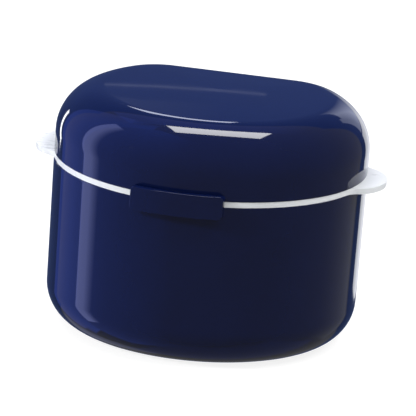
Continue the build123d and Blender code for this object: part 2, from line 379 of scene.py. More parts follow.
def add_rod(name, radius, x_low, x_high, y, z, sides=ROD_SIDES):
    """Add a cylinder along X."""
    middle = ((x_low + x_high) / 2, y, z)
    bpy.ops.mesh.primitive_cylinder_add(
        vertices=sides, radius=radius, depth=x_high - x_low, location=middle, rotation=(0, pi / 2, 0)
    )
    return added(name)


def add_post(name, radius, x, y, z_low, z_high, sides):
    """Add an upright cylinder."""
    middle = (x, y, (z_low + z_high) / 2)
    bpy.ops.mesh.primitive_cylinder_add(vertices=sides, radius=radius, depth=z_high - z_low, location=middle)
    return added(name)


def draw_out(piece, starts, ends, push):
    """Move the corners of a flat piece from their starts to their ends, then extrude it."""
    open_mesh(piece)
    for start, end in zip(starts, ends):
        select("VERT", lambda vert: (vert.co - start).length < NEAR)
        bpy.ops.transform.translate(value=end - start)
    select_all()
    extrude(*push)
    face_outwards()
    close_mesh()
    return piece


def add_wedge(name, corners, z_low, z_high):
    """Add an upright wedge over three (x, y) corners."""
    bpy.ops.mesh.primitive_circle_add(vertices=3, radius=1, fill_type="NGON", location=(0, 0, z_low))
    wedge = added(name)
    starts = [vert.co.copy() for vert in wedge.data.vertices]
    return draw_out(wedge, starts, [Vector((*corner, z_low)) for corner in corners], (0, 0, z_high - z_low))


def add_bar(name, corners, x_low, x_high):
    """Add a bar along X over four (y, z) corners, drawn out of a unit plane."""
    bar = add_upright_plane(name, -0.5, 0.5, -0.5, 0.5)
    starts = [Vector((0, y, z)) for y, z in ((-0.5, -0.5), (0.5, -0.5), (0.5, 0.5), (-0.5, 0.5))]
    return draw_out(bar, starts, [Vector((x_low, *corner)) for corner in corners], (x_high - x_low, 0, 0))


def apply_modifier(piece, kind, **settings):
    """Add a modifier to a piece, set it and apply it."""
    activate(piece)
    bpy.ops.object.modifier_add(type=kind)
    modifier = piece.modifiers[-1]
    for name, value in settings.items():
        setattr(modifier, name, value)
    bpy.ops.object.modifier_apply(modifier=modifier.name)


def combine(piece, operation, *tools):
    """Join closed tools to a piece, cut them away or keep what both share, one after another."""
    for tool in tools:
        apply_modifier(piece, "BOOLEAN", operation=operation, solver="MANIFOLD", object=tool)
        bpy.data.objects.remove(tool)


def spread(piece, places):
    """Replace a piece by copies at all places, each with a mesh of its own."""
    copies = []
    for place in places:
        copy = piece.copy()
        copy.data = piece.data.copy()
        copy.matrix_world = place
        bpy.context.scene.collection.objects.link(copy)
        copies.append(copy)
    bpy.data.objects.remove(piece)
    return copies


def join(pieces):
    """Join pieces that don't touch into the first one."""
    activate(pieces[0])
    for piece in pieces:
        piece.select_set(True)
    bpy.ops.object.join()
    return pieces[0]


# ---- Plan of the case ----
def sweep_section(shell):
    """Sweep the open mesh's section round the front and side, round the rear corner and along the back."""
    back_y = HINGE_Y - bpy.context.scene.denture_case.hinge.wall_gap
    corner_y = back_y - shell.corner_radius
    corner_x = sqrt((CASE_RADIUS - shell.corner_radius) ** 2 - (corner_y - CENTRE_Y) ** 2)
    side_turn = pi / 2 + atan2(corner_y - CENTRE_Y, corner_x)
    select_all()
    spin(SIDE_STEPS, side_turn)
    spin(CORNER_STEPS, pi - side_turn, corner_x, corner_y)
    extrude(x=-corner_x)


def mirror_half(piece):
    """Mirror a half across the middle plane, close its seam and turn its faces outwards."""
    close_mesh()
    apply_modifier(piece, "MIRROR", use_clip=True, merge_threshold=2 * NEAR)
    open_mesh(piece)
    select_all()
    bpy.ops.mesh.remove_doubles(threshold=2 * NEAR)
    face_outwards()


def thicken(piece, wall):
    """Give a swept skin its wall, on its inside."""
    face_outwards()
    close_mesh()
    apply_modifier(piece, "SOLIDIFY", thickness=wall, offset=-1, use_even_offset=True)
    open_mesh(piece)


def round_corner(y, z, radius, segments):
    """Round the corner of the open section at (y, z)."""
    select_corner(y, z)
    bpy.ops.mesh.bevel(affect="VERTICES", offset=radius, segments=segments)


def round_edges(test, radius, segments=3):
    """Round the sharp convex edges of the open mesh that pass a test."""
    select("EDGE", lambda edge: edge.is_convex and edge.calc_face_angle(0) > SHARP and test(edge))
    bpy.ops.mesh.bevel(affect="EDGES", offset=radius, segments=segments, clamp_overlap=True)


def add_cup(name, shell, inset, wall, rim_z, floor_z, edge_radius, draft, floor_inset):
    """Model a cup: a drafted wall, a rounded edge and a flat floor, with a level rim."""
    front_y = FRONT_Y + inset
    inner_y = FRONT_Y + floor_inset
    edge_y = front_y + abs(rim_z - floor_z) * tan(draft)
    cup = add_upright_plane(name, front_y, inner_y, floor_z, rim_z)
    open_mesh(cup)
    select_corner(inner_y, rim_z)
    bpy.ops.mesh.delete(type="VERT")
    select_corner(front_y, floor_z)
    bpy.ops.transform.translate(value=(0, edge_y - front_y, 0))
    round_corner(edge_y, floor_z, edge_radius, CUP_EDGE_STEPS)
    sweep_section(shell)
    mirror_half(cup)
    select("EDGE", lambda edge: edge.is_boundary and level(edge, floor_z))
    bpy.ops.mesh.edge_face_add()
    thicken(cup, wall)
    select("VERT", lambda vert: vert.co.z > rim_z - wall * sin(draft))
    bpy.ops.transform.resize(value=(1, 1, 0), center_override=(0, 0, rim_z))
    close_mesh()
    return cup


def add_knuckle(name, hinge, start, width, side):
    """Model a knuckle and its web; side is 1 for a web up the lid's wall and -1 for one down the base's."""
    knuckle = add_rod(name, hinge.knuckle_radius, start, start + width, HINGE_Y, SEAM_Z)
    depth = hinge.wall_gap + hinge.web_root
    touch = atan2(hinge.web_height, depth) + acos(hinge.knuckle_radius / hypot(depth, hinge.web_height))
    corners = (
        (0, 0),
        (depth, hinge.web_gap),
        (depth, hinge.web_height),
        (hinge.knuckle_radius * cos(touch), hinge.knuckle_radius * sin(touch)),
    )
    web = [(HINGE_Y - reach, SEAM_Z + side * height) for reach, height in corners]
    combine(knuckle, "UNION", add_bar("web", web, start, start + width))
    return knuckle


def add_heel(hinge, start, width):
    """Model the heel under a lid knuckle that meets the back wall at full opening."""
    trail = hinge.heel_lead + hinge.heel_spread
    flank = trail + acos(hinge.knuckle_radius / hinge.heel_radius)
    corners = (
        (0, 0),
        (hinge.heel_radius, hinge.heel_lead),
        (hinge.heel_radius, trail),
        (hinge.knuckle_radius, flank),
    )
    outline = [(HINGE_Y - reach * cos(angle), SEAM_Z - reach * sin(angle)) for reach, angle in corners]
    return add_bar("heel", outline, start, start + width)


def add_ear_blend(sizes, side, end, z_low, z_high):
    """Model the fillet between an ear and the flange; side and end are 1 or -1 along X and Y."""
    flange_radius = CASE_RADIUS - sizes.flange_inset
    length = basket_high.x - CASE_RADIUS + sizes.ear_inset
    middle = Vector((CASE_RADIUS - sizes.ear_inset, 0))
    on_ear = middle + Vector((length * cos(sizes.ear_blend), sizes.ear_width * sin(sizes.ear_blend)))
    outwards = Vector((cos(sizes.ear_blend) / length, sin(sizes.ear_blend) / sizes.ear_width)).normalized()
    # The fillet's circle touches the ellipse at on_ear and the flange's round edge from outside.
    radius = (on_ear.length_squared - flange_radius**2) / (2 * (flange_radius - on_ear.dot(outwards)))
    centre = on_ear + radius * outwards
    on_flange = centre.normalized() * flange_radius
    inside = middle + Vector((0, EAR_CORE * sizes.ear_width))
    *corners, centre = (
        Vector((side * point.x, CENTRE_Y + end * point.y)) for point in (on_ear, on_flange, inside, centre)
    )
    blend = add_wedge("blend", corners, z_low, z_high)
    cutter = add_post("cutter", radius, *centre, z_low - SPARE, z_high + SPARE, EAR_SIDES)
    combine(blend, "DIFFERENCE", cutter)
    return blend


# ---- Materials ----
def add_node(tree, kind, *inputs, **settings):
    """Add a node and set its properties and sockets, the first ones by order and the others by name.
    A socket is given a value or, from another node or socket, a link."""
    node = tree.nodes.new("ShaderNode" + kind)
    given = list(enumerate(inputs))
    for name, value in settings.items():
        if name in node.bl_rna.properties:
            setattr(node, name, value)
        else:
            given.append((name.replace("_", " "), value))
    for socket, value in given:
        source = value.outputs[0] if isinstance(value, bpy.types.Node) else value
        if isinstance(source, bpy.types.NodeSocket):
            tree.links.new(source, node.inputs[socket])
        else:
            node.inputs[socket].default_value = value
    return node


def set_stops(node, *stops):
    """Set the (place, colour) stops of a ramp node."""
    elements = node.color_ramp.elements
    while len(elements) < len(stops):
        elements.new(0.5)
    for element, (place, colour) in zip(elements, stops):
        element.position = place
        element.color = colour


def new_material(name):
    """A material with an empty node tree."""
    material = bpy.data.materials.new(name)
    material.use_nodes = True
    material.node_tree.nodes.clear()
    return material


def shades(colour, share):
    """A darker and a lighter shade of a colour."""
    return [(*(factor * part for part in colour[:3]), 1) for factor in (1 - share, 1 + share)]


class Skin(NamedTuple):
    """How a moulded skin looks; a size is that of the pattern, a height that of the relief."""

    cloud: float  # drift of the pigment
    colour_spread: float  # share by which the colour drifts
    film: float  # patches that fingers leave
    stroke: float  # width of wiping strokes
    roughness: tuple
    ripple: float
    ripple_height: float
    grain: float
    grain_height: float
    ior: float
    subsurface: float = 0.0


def moulded(name, colour, skin):
    """A moulded plastic or rubber: cloudy pigment, a handled surface and the ripple of its tool."""
    material = new_material(name)
    tree = material.node_tree
    place = add_node(tree, "TexCoord").outputs["Object"]

    # Pigment isn't quite evenly mixed, so the colour drifts slowly and has a fine speckle.
    cloud = add_node(tree, "TexNoise", place, Scale=1 / skin.cloud, Detail=3.0, Roughness=0.6)
    pigment = add_node(tree, "ValToRGB", cloud)
    darker, lighter = shades(colour, skin.colour_spread)
    set_stops(pigment, (0.3, darker), (0.7, lighter))

    # Fingers leave a patchy film and cloths leave short strokes, about eight times as long as wide and
    # aslant: both change only the gloss. Their sum stays between 0.7 and 1.3.
    film = add_node(tree, "TexNoise", place, Scale=1 / skin.film, Detail=4.0, Distortion=0.6)
    wiped = add_node(tree, "Mapping", place, Rotation=(0, 0, radians(24)), Scale=(0.12, 1, 1))
    strokes = add_node(tree, "TexNoise", wiped, Scale=1 / skin.stroke, Detail=2.0)
    handled = add_node(tree, "Math", film, strokes, operation="ADD")
    dull, rough = skin.roughness
    roughness = add_node(tree, "MapRange", handled, From_Min=0.7, From_Max=1.3, To_Min=dull, To_Max=rough)

    # The tool's polish leaves a long shallow ripple, and its surface a much finer one.
    ripple = add_node(tree, "TexNoise", place, Scale=1 / skin.ripple, Detail=1.0, Roughness=0.4)
    waves = add_node(tree, "Bump", Height=ripple, Strength=1.0, Distance=skin.ripple_height)
    grain = add_node(tree, "TexNoise", place, Scale=1 / skin.grain, Detail=2.0)
    relief = add_node(tree, "Bump", Height=grain, Normal=waves, Strength=1.0, Distance=skin.grain_height)
    shader = add_node(
        tree,
        "BsdfPrincipled",
        Base_Color=pigment,
        Roughness=roughness,
        Normal=relief,
        IOR=skin.ior,
        Subsurface_Weight=skin.subsurface,
        Subsurface_Radius=(1.0, 1.0, 1.0),
        Subsurface_Scale=1.2 * MM,
    )
    add_node(tree, "OutputMaterial", shader)
    return material


def navy_abs():
    """Injection-moulded ABS from a polished tool, made once and shared by base, lid and clasp."""
    name = "moulded_abs_navy"
    if name in bpy.data.materials:
        return bpy.data.materials[name]
    # A polished tool gives ABS a deep mirror gloss: reflections have clear edges that waver slightly.
    # The real surface is smoother than any grain, so a faint one stands for dust and fine scuffs.
    skin = Skin(
        cloud=22 * MM,
        colour_spread=0.07,
        film=14 * MM,
        stroke=1.6 * MM,
        roughness=(0.03, 0.06),
        ripple=9 * MM,
        ripple_height=0.0006 * MM,
        grain=0.5 * MM,
        grain_height=0.0002 * MM,
        ior=1.48,
    )
    return moulded(name, bpy.context.scene.denture_case.finish.navy, skin)


def white_pp():
    """Injection-moulded polypropylene of the rinse basket."""
    # Filled polypropylene is waxy: light sinks a millimetre in, and its gloss is soft and broad.
    skin = Skin(
        cloud=16 * MM,
        colour_spread=0.02,
        film=10 * MM,
        stroke=1.2 * MM,
        roughness=(0.26, 0.34),
        ripple=7 * MM,
        ripple_height=0.004 * MM,
        grain=0.4 * MM,
        grain_height=0.001 * MM,
        ior=1.49,
        subsurface=0.3,
    )
    return moulded("moulded_pp_white", bpy.context.scene.denture_case.finish.white, skin)


def silicone_rubber():
    """Compression-moulded silicone of the lid seal."""
    # Silicone is dull and slightly milky, with the fine matt texture of a blasted tool. Blasting
    # leaves pits of about 0.05 mm, drawn four times coarser so that they show.
    skin = Skin(
        cloud=8 * MM,
        colour_spread=0.03,
        film=6 * MM,
        stroke=0.8 * MM,
        roughness=(0.42, 0.6),
        ripple=3 * MM,
        ripple_height=0.006 * MM,
        grain=0.2 * MM,
        grain_height=0.004 * MM,
        ior=1.41,
        subsurface=0.4,
    )
    return moulded("moulded_silicone_rubber", bpy.context.scene.denture_case.finish.silicone, skin)


def drawn_steel():
    """Cold-drawn stainless wire of the two pins."""
    # The die leaves long hairlines along the wire, which smear its reflections across it. They are
    # about 0.02 mm apart, drawn at 0.08 mm so that they show, and 50 times as long.
    material = new_material("drawn_stainless_steel")
    tree = material.node_tree
    place = add_node(tree, "TexCoord").outputs["Object"]
    along = add_node(tree, "Mapping", place, Scale=(0.02, 1, 1))
    lines = add_node(tree, "TexNoise", along, Scale=1 / (0.08 * MM), Detail=3.0)
    tone = add_node(tree, "ValToRGB", lines)
    darker, lighter = shades(bpy.context.scene.denture_case.finish.steel, 0.12)
    set_stops(tone, (0, darker), (1, lighter))
    roughness = add_node(tree, "MapRange", lines, To_Min=0.2, To_Max=0.42)
    hairlines = add_node(tree, "Bump", Height=lines, Strength=1.0, Distance=0.002 * MM)
    shader = add_node(
        tree, "BsdfPrincipled", Base_Color=tone, Roughness=roughness, Normal=hairlines, Metallic=1.0
    )
    add_node(tree, "OutputMaterial", shader)
    return material


def finish_piece(piece, material, body, node):
    """Smooth a modelled piece, give it its material, attach it to its body and hide the CAD node that it
    replaces.
    """
    activate(piece)
    bpy.ops.object.shade_smooth_by_angle(angle=SMOOTH)
    apply_modifier(piece, "WEIGHTED_NORMAL", keep_sharp=True, weight=100)
    piece.data.materials.clear()
    piece.data.materials.append(material)
    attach(piece, body)
    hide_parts(node)


# ---- Studio ----
class Lamp(NamedTuple):
    """A lamp on a plane that faces the case, its spans across and up given at a distance of 1."""

    name: str
    azimuth: float | str  # degrees from the front, or the camera's or the opposite one
    elevation: float
    x_span: tuple
    y_span: tuple
    colour: str
    radiance: float
    fade: float = 0.0  # share of the width over which the right edge fades, or the left one if negative
    far: float = 1.0  # share of the radiance that is left at the other edge
    roll: float = 0.0
    gloss: bool = True  # whether reflections see it
    light: bool = True  # whether it lights matt surfaces


WHITE = "#FFFFFF"
PALE = "#E7ECFF"
COOL = "#B3BCFF"
DUSK = "#6579FF"
DEEP_BLUE = "#3165FF"
LAMPS = (
    Lamp("overhead_softbox", "camera", 90, (-0.265, 0.35), (0.05, 0.365), WHITE, 11.0, light=False),
    Lamp("overhead_blue_card", "camera", 90, (-0.62, 0.62), (0.38, 0.9), DEEP_BLUE, 0.5, 0.5, light=False),
    Lamp("overhead_fill", "camera", 90, (-0.3, 0.3), (0.0, 0.6), WHITE, 0.8, gloss=False),
    Lamp("left_strip", -90, 0, (-0.111, 0.204), (-0.75, 1.07), COOL, 2.1, 0.51, roll=5.5, light=False),
    Lamp("left_dusk_card", -115, 0, (-0.235, 0.175), (-1.0, 1.45), DUSK, 0.54, 1.0, light=False),
    Lamp("left_blue_card", -113, 0, (-0.27, 0.36), (-1.2, 2.3), DEEP_BLUE, 1.0, -0.65, light=False),
    Lamp("front_blue_card", -55, 0, (-0.8, 0.9), (-2.8, 3.2), DEEP_BLUE, 0.68, 0.75, light=False),
    Lamp("right_rear_strip", "behind", 0, (-0.59, -0.05), (-0.338, 0.05), WHITE, 1.35, 0.45, roll=6),
    Lamp("right_rear_screen", "behind", 0, (-0.48, -0.155), (0.06, 0.47), PALE, 1.02, 0.53, 0.68),
    Lamp("right_rear_wing", "behind", 0, (-0.61, -0.48), (0.06, 0.52), PALE, 0.64),
    Lamp("left_rear_strip", "behind", 0, (0.66, 0.75), (-0.32, 0.15), WHITE, 6.0),
    Lamp("upper_rear_strip", "behind", 0, (-0.03, 0.145), (0.54, 0.70), PALE, 4.0),
    Lamp("rear_haze", "behind", 0, (-0.005, 0.075), (0.316, 0.45), PALE, 0.05, -0.8, light=False),
    Lamp("rear_batten", "behind", 0, (-0.028, 0.074), (0.268, 0.275), PALE, 0.2, light=False),
    Lamp("low_rear_card", "behind", 0, (0.25, 0.75), (-1.9, -0.76), COOL, 0.28, light=False),
    Lamp("right_haze", 130, 0, (-0.35, 0.33), (-0.8, -0.28), PALE, 0.13, -1.0, light=False),
    Lamp("under_blue_card", "camera", -90, (-0.3, 1.1), (-0.5, 0.5), DEEP_BLUE, 0.17, light=False),
    Lamp("key_softbox", -54, 27, (-0.06, 0.06), (-0.06, 0.06), WHITE, 140.0, gloss=False),
    Lamp("left_fill", -110, 65, (-0.3, 0.3), (-0.3, 0.3), WHITE, 3.3, gloss=False),
    Lamp("right_fill", 80, 60, (-0.3, 0.3), (-0.3, 0.3), WHITE, 6.8, gloss=False),
)
# The glowing cloth behind the case, with spans like a lamp's, is seen by reflections only: its glow paints a
# dim blue reflection on the case. Its glow grows from the first colour at the first height to the second one
# at the second height.
CLOTH_SPANS = (-0.9, 1.1), (-0.75, 1.12)
CLOTH_GLOW = (-0.1, "#425076"), (0.3, "#4E5F95")
CLOTH_BEHIND = 0.1  # metres from the lamps' plane back to the cloth

# The camera looks at a point on the case, then is shifted across and up in its own picture.
VIEW_POINT = (0, -2.628 * MM, 38 * MM)
VIEW_SHIFT = (1.107 * MM, 0.573 * MM, 0)


def facing(azimuth, elevation):
    """Rotation that looks at the case from an azimuth, 0 at the front and positive to the right."""
    return Matrix.Rotation(azimuth, 4, "Z") @ Matrix.Rotation(pi / 2 - elevation, 4, "X")


def panel_place(stage, azimuth, elevation, x_span, y_span):
    """Place, width and height of a panel that faces the case."""
    named = {"camera": stage.azimuth, "behind": stage.azimuth + pi}
    turned = facing(named[azimuth] if azimuth in named else radians(azimuth), radians(elevation))
    reach = stage.lamp_distance
    middle = Vector((sum(x_span) / 2, sum(y_span) / 2, 1)) * reach
    stand = Matrix.Translation((0, CENTRE_Y, SEAM_Z)) @ turned @ Matrix.Translation(middle)
    return stand, (x_span[1] - x_span[0]) * reach, (y_span[1] - y_span[0]) * reach


def add_lamp(stage, plan):
    """Add a lamp of the table. The camera never sees one."""
    stand, width, height = panel_place(stage, plan.azimuth, plan.elevation, plan.x_span, plan.y_span)
    bpy.ops.object.light_add(type="AREA")
    lamp = bpy.context.object
    lamp.name = plan.name
    lamp.matrix_world = stand @ Matrix.Rotation(radians(plan.roll), 4, "Z")
    lamp.data.shape = "RECTANGLE"
    lamp.data.size = width
    lamp.data.size_y = height
    lamp.data.color = hex_colour(plan.colour)[:3]
    lamp.data.energy = plan.radiance * pi * width * height
    lamp.visible_camera = False
    lamp.visible_glossy = plan.gloss
    lamp.visible_diffuse = plan.light
    if plan.fade:
        grade(lamp.data, plan.fade, plan.far)


def grade(lamp, fade, far):
    """Let a lamp's radiance fall to nothing at one edge and to a share of itself at the other one."""
    lamp.use_nodes = True
    tree = lamp.node_tree
    across = add_node(tree, "SeparateXYZ", add_node(tree, "NewGeometry").outputs["Parametric"])
    strength = add_node(tree, "ValToRGB", across.outputs["X"])
    stops = ((0, far), (1 - fade, 1), (1, 0)) if fade > 0 else ((0, 0), (-fade, 1), (1, far))
    set_stops(strength, *((place, (share, share, share, 1)) for place, share in stops))
    tree.links.new(strength.outputs["Color"], tree.nodes["Emission"].inputs["Strength"])


def add_panel(name, place, width, height, material):
    """Add a flat panel of the studio."""
    bpy.ops.mesh.primitive_plane_add(size=1)
    bpy.context.object.matrix_world = place @ Matrix.Diagonal((width, height, 1, 1))
    panel = added(name)
    panel.data.materials.append(material)
    return panel


def seen_directly(tree, path):
    """A node that is 1 for rays from the camera, straight or through something clear, and else 0."""
    camera, clear = path.outputs["Is Camera Ray"], path.outputs["Is Transmission Ray"]
    return add_node(tree, "Math", camera, clear, operation="ADD")


def white_board(stage):
    """White board of the floor: matt, so that it takes shadows, with a glow that only the camera sees."""
    board = new_material("matt_white_board")
    tree = board.node_tree
    matt = add_node(tree, "BsdfDiffuse", Color=stage.floor_grey)
    seen = seen_directly(tree, add_node(tree, "LightPath"))
    strength = add_node(tree, "MapRange", seen, To_Min=0.0, To_Max=stage.floor_glow)
    both = add_node(tree, "AddShader", matt, add_node(tree, "Emission", Strength=strength))
    add_node(tree, "OutputMaterial", both)
    return board


def glowing_cloth(stage):
    """Cloth that glows a dim blue for reflections only: a painted reflection that keeps the lid's top and
    the edges of the sides dark.
    """
    # The cloth's colour is emitted light, a painted reflection, and no dye.
    glow_material = new_material("dyed_wool_cloth")
    tree = glow_material.node_tree
    place = add_node(tree, "TexCoord").outputs["Object"]
    height = add_node(tree, "SeparateXYZ", place).outputs["Z"]
    (low, low_glow), (high, high_glow) = CLOTH_GLOW
    low_z, high_z = (SEAM_Z + share * stage.lamp_distance for share in (low, high))
    share = add_node(tree, "MapRange", height, From_Min=low_z, From_Max=high_z)
    tone = add_node(tree, "ValToRGB", share)
    set_stops(tone, (0, hex_colour(low_glow)), (1, hex_colour(high_glow)))
    add_node(tree, "OutputMaterial", add_node(tree, "Emission", tone, Strength=1.0))
    return glow_material


def light_room(world, stage):
    """Let the camera see white all round, reflections a dim grey and matt surfaces the ambient light."""
    world.use_nodes = True
    tree = world.node_tree
    path = add_node(tree, "LightPath")
    glossy = path.outputs["Is Glossy Ray"]
    unseen = add_node(tree, "MapRange", glossy, To_Min=stage.ambient, To_Max=stage.room_grey)
    strength = add_node(tree, "MapRange", seen_directly(tree, path), To_Min=unseen, To_Max=1.0)
    background = tree.nodes["Background"]
    background.inputs["Color"].default_value = (1, 1, 1, 1)
    tree.links.new(strength.outputs["Result"], background.inputs["Strength"])


# ---- Operators ----
class BaseShell(Operator):
    """Model the base: a cup with a foot ring, a stepped rim, a catch rib and three hinge knuckles"""

    bl_idname = "denture_case.base_shell"
    bl_label = "Base Shell"

    def execute(self, context):
        case = context.scene.denture_case
        shell, hinge, clasp, basket = case.shell, case.hinge, case.clasp, case.basket
        rim_z = SEAM_Z - basket.flange
        base = add_cup(
            "base", shell, 0, shell.wall, rim_z, 0, shell.base_edge, shell.base_draft, shell.foot_inset
        )
        open_mesh(base)
        # The only face with many corners at the bottom is the floor inside the foot ring.
        select("FACE", lambda face: at(face.calc_center_median().z, 0) and len(face.verts) > 4)
        extrude(z=shell.foot_height)
        step_y = CENTRE_Y + basket.rim_back
        select("FACE", lambda face: level(face, rim_z))
        bpy.ops.mesh.bisect(plane_co=(0, step_y, 0), plane_no=(0, 1, 0))
        select("FACE", lambda face: level(face, rim_z) and face.calc_center_median().y > step_y)
        extrude(z=basket.flange)
        round_edges(lambda edge: all(vert.co.z > rim_z - NEAR for vert in edge.verts), shell.rim_round)
        close_mesh()

        catch_y = FRONT_Y - clasp.catch_reach
        catch_z = clasp_low.z + clasp.lip_height + clasp.catch_gap
        catch_top = catch_z + clasp.catch_height
        catch = add_upright_plane("catch", catch_y, FRONT_Y + shell.wall / 2, catch_z, catch_top)
        open_mesh(catch)
        round_corner(catch_y, catch_top, clasp.catch_reach, segments=1)
        keep_outline()
        spin(RIB_STEPS, clasp.catch_half)
        bpy.ops.mesh.edge_face_add()
        mirror_half(catch)
        close_mesh()
        combine(base, "UNION", catch)

        half_middle = hinge.middle_knuckle / 2
        outer = half_middle + 2 * hinge.gap + hinge.lid_knuckle
        for start, width in (
            (-outer - hinge.outer_knuckle, hinge.outer_knuckle),
            (-half_middle, hinge.middle_knuckle),
            (outer, hinge.outer_knuckle),
        ):
            combine(base, "UNION", add_knuckle("knuckle", hinge, start, width, -1))
        end = outer + hinge.outer_knuckle + SPARE
        combine(base, "DIFFERENCE", add_rod("bore", hinge.pin_radius, -end, end, HINGE_Y, SEAM_Z))
        finish_piece(base, navy_abs(), "base", "base_shell")
        return {"FINISHED"}


class LidShell(Operator):
    """Model the lid: a domed cap with a seal groove, a clasp lug and two hinge knuckles with heels"""

    bl_idname = "denture_case.lid_shell"
    bl_label = "Lid Shell"

    def execute(self, context):
        case = context.scene.denture_case
        shell, hinge, clasp, seal = case.shell, case.hinge, case.clasp, case.seal
        # The dome's outermost ring, inside the rounded edge: the dome is straight from there outwards.
        ring_inset = 18 * MM
        ring_radius = CASE_RADIUS - ring_inset
        ring_drop = ring_radius**2 / (2 * shell.crown_radius)
        edge_drop = ring_drop + ring_inset * (CASE_RADIUS - shell.lid_edge) / shell.crown_radius
        edge_z = TOP_Z - edge_drop
        inner_y = FRONT_Y + ring_inset
        lid = add_upright_plane("lid", FRONT_Y, inner_y, SEAM_Z, edge_z)
        open_mesh(lid)
        select_corner(inner_y, SEAM_Z)
        bpy.ops.mesh.delete(type="VERT")
        select("VERT", lambda vert: at(vert.co.y, inner_y))
        bpy.ops.transform.translate(value=(0, 0, edge_drop - ring_drop))
        round_corner(FRONT_Y, edge_z, shell.lid_edge, LID_EDGE_STEPS)
        sweep_section(shell)
        mirror_half(lid)
        select("EDGE", lambda edge: edge.is_boundary and edge.verts[0].co.z > SEAM_Z + NEAR)
        for ring in range(1, DOME_RINGS):
            before, after = 1 - (ring - 1) / DOME_RINGS, 1 - ring / DOME_RINGS
            extrude(z=ring_drop * (before**2 - after**2))
            share = after / before
            bpy.ops.transform.resize(value=(share, share, 1), center_override=(0, CENTRE_Y, 0))
        bpy.ops.mesh.edge_face_add()
        thicken(lid, shell.wall)
        select("FACE", lambda face: level(face, SEAM_Z))
        bpy.ops.mesh.inset(thickness=seal.inset, use_even_offset=True)
        extrude(z=seal.depth)
        # The rim's outer and inner edges and the groove's: each has an upright face above the seam.
        round_edges(
            lambda edge: level(edge, SEAM_Z)
            and any(
                abs(face.normal.z) < UPRIGHT and face.calc_center_median().z > SEAM_Z
                for face in edge.link_faces
            ),
            shell.rim_round,
        )
        close_mesh()

        half_lug = clasp.lug_width / 2
        lug = add_rod("lug", clasp.lug_radius, -half_lug, half_lug, CLASP_PIN_Y, CLASP_PIN_Z)
        lug_web = add_box(
            "lug_web",
            (-half_lug, CLASP_PIN_Y, CLASP_PIN_Z - clasp.lug_web / 2),
            (half_lug, FRONT_Y + seal.inset / 2, CLASP_PIN_Z + clasp.lug_web / 2),
        )
        combine(lid, "UNION", lug, lug_web)
        start = hinge.middle_knuckle / 2 + hinge.gap
        for low in (-start - hinge.lid_knuckle, start):
            knuckle = add_knuckle("knuckle", hinge, low, hinge.lid_knuckle, 1)
            combine(knuckle, "UNION", add_heel(hinge, low, hinge.lid_knuckle))
            combine(lid, "UNION", knuckle)
        end = start + hinge.lid_knuckle + SPARE
        bore = add_rod("bore", hinge.pin_radius + hinge.pin_gap, -end, end, HINGE_Y, SEAM_Z)
        end = clasp.lug_width
        lug_bore = add_rod("lug_bore", clasp.pin_radius, -end, end, CLASP_PIN_Y, CLASP_PIN_Z, HOLE_SIDES)
        combine(lid, "DIFFERENCE", bore, lug_bore)
        finish_piece(lid, navy_abs(), "lid", "lid_shell")
        return {"FINISHED"}


class LidSeal(Operator):
    """Model the flat silicone ring in the lid's rim"""

    bl_idname = "denture_case.lid_seal"
    bl_label = "Lid Seal"

    def execute(self, context):
        case = context.scene.denture_case
        shell, seal = case.shell, case.seal
        outer_y = FRONT_Y + seal.inset + seal.clearance
        inner_y = FRONT_Y + shell.wall - seal.inset - seal.clearance
        ring = add_upright_plane("seal", outer_y, inner_y, SEAM_Z, SEAM_Z + seal.depth)
        open_mesh(ring)
        select("VERT", lambda vert: at(vert.co.z, SEAM_Z))
        bpy.ops.mesh.bevel(affect="VERTICES", offset=seal.edge, segments=3)
        keep_outline()
        sweep_section(shell)
        mirror_half(ring)
        close_mesh()
        finish_piece(ring, silicone_rubber(), "lid", "lid_seal")
        return {"FINISHED"}


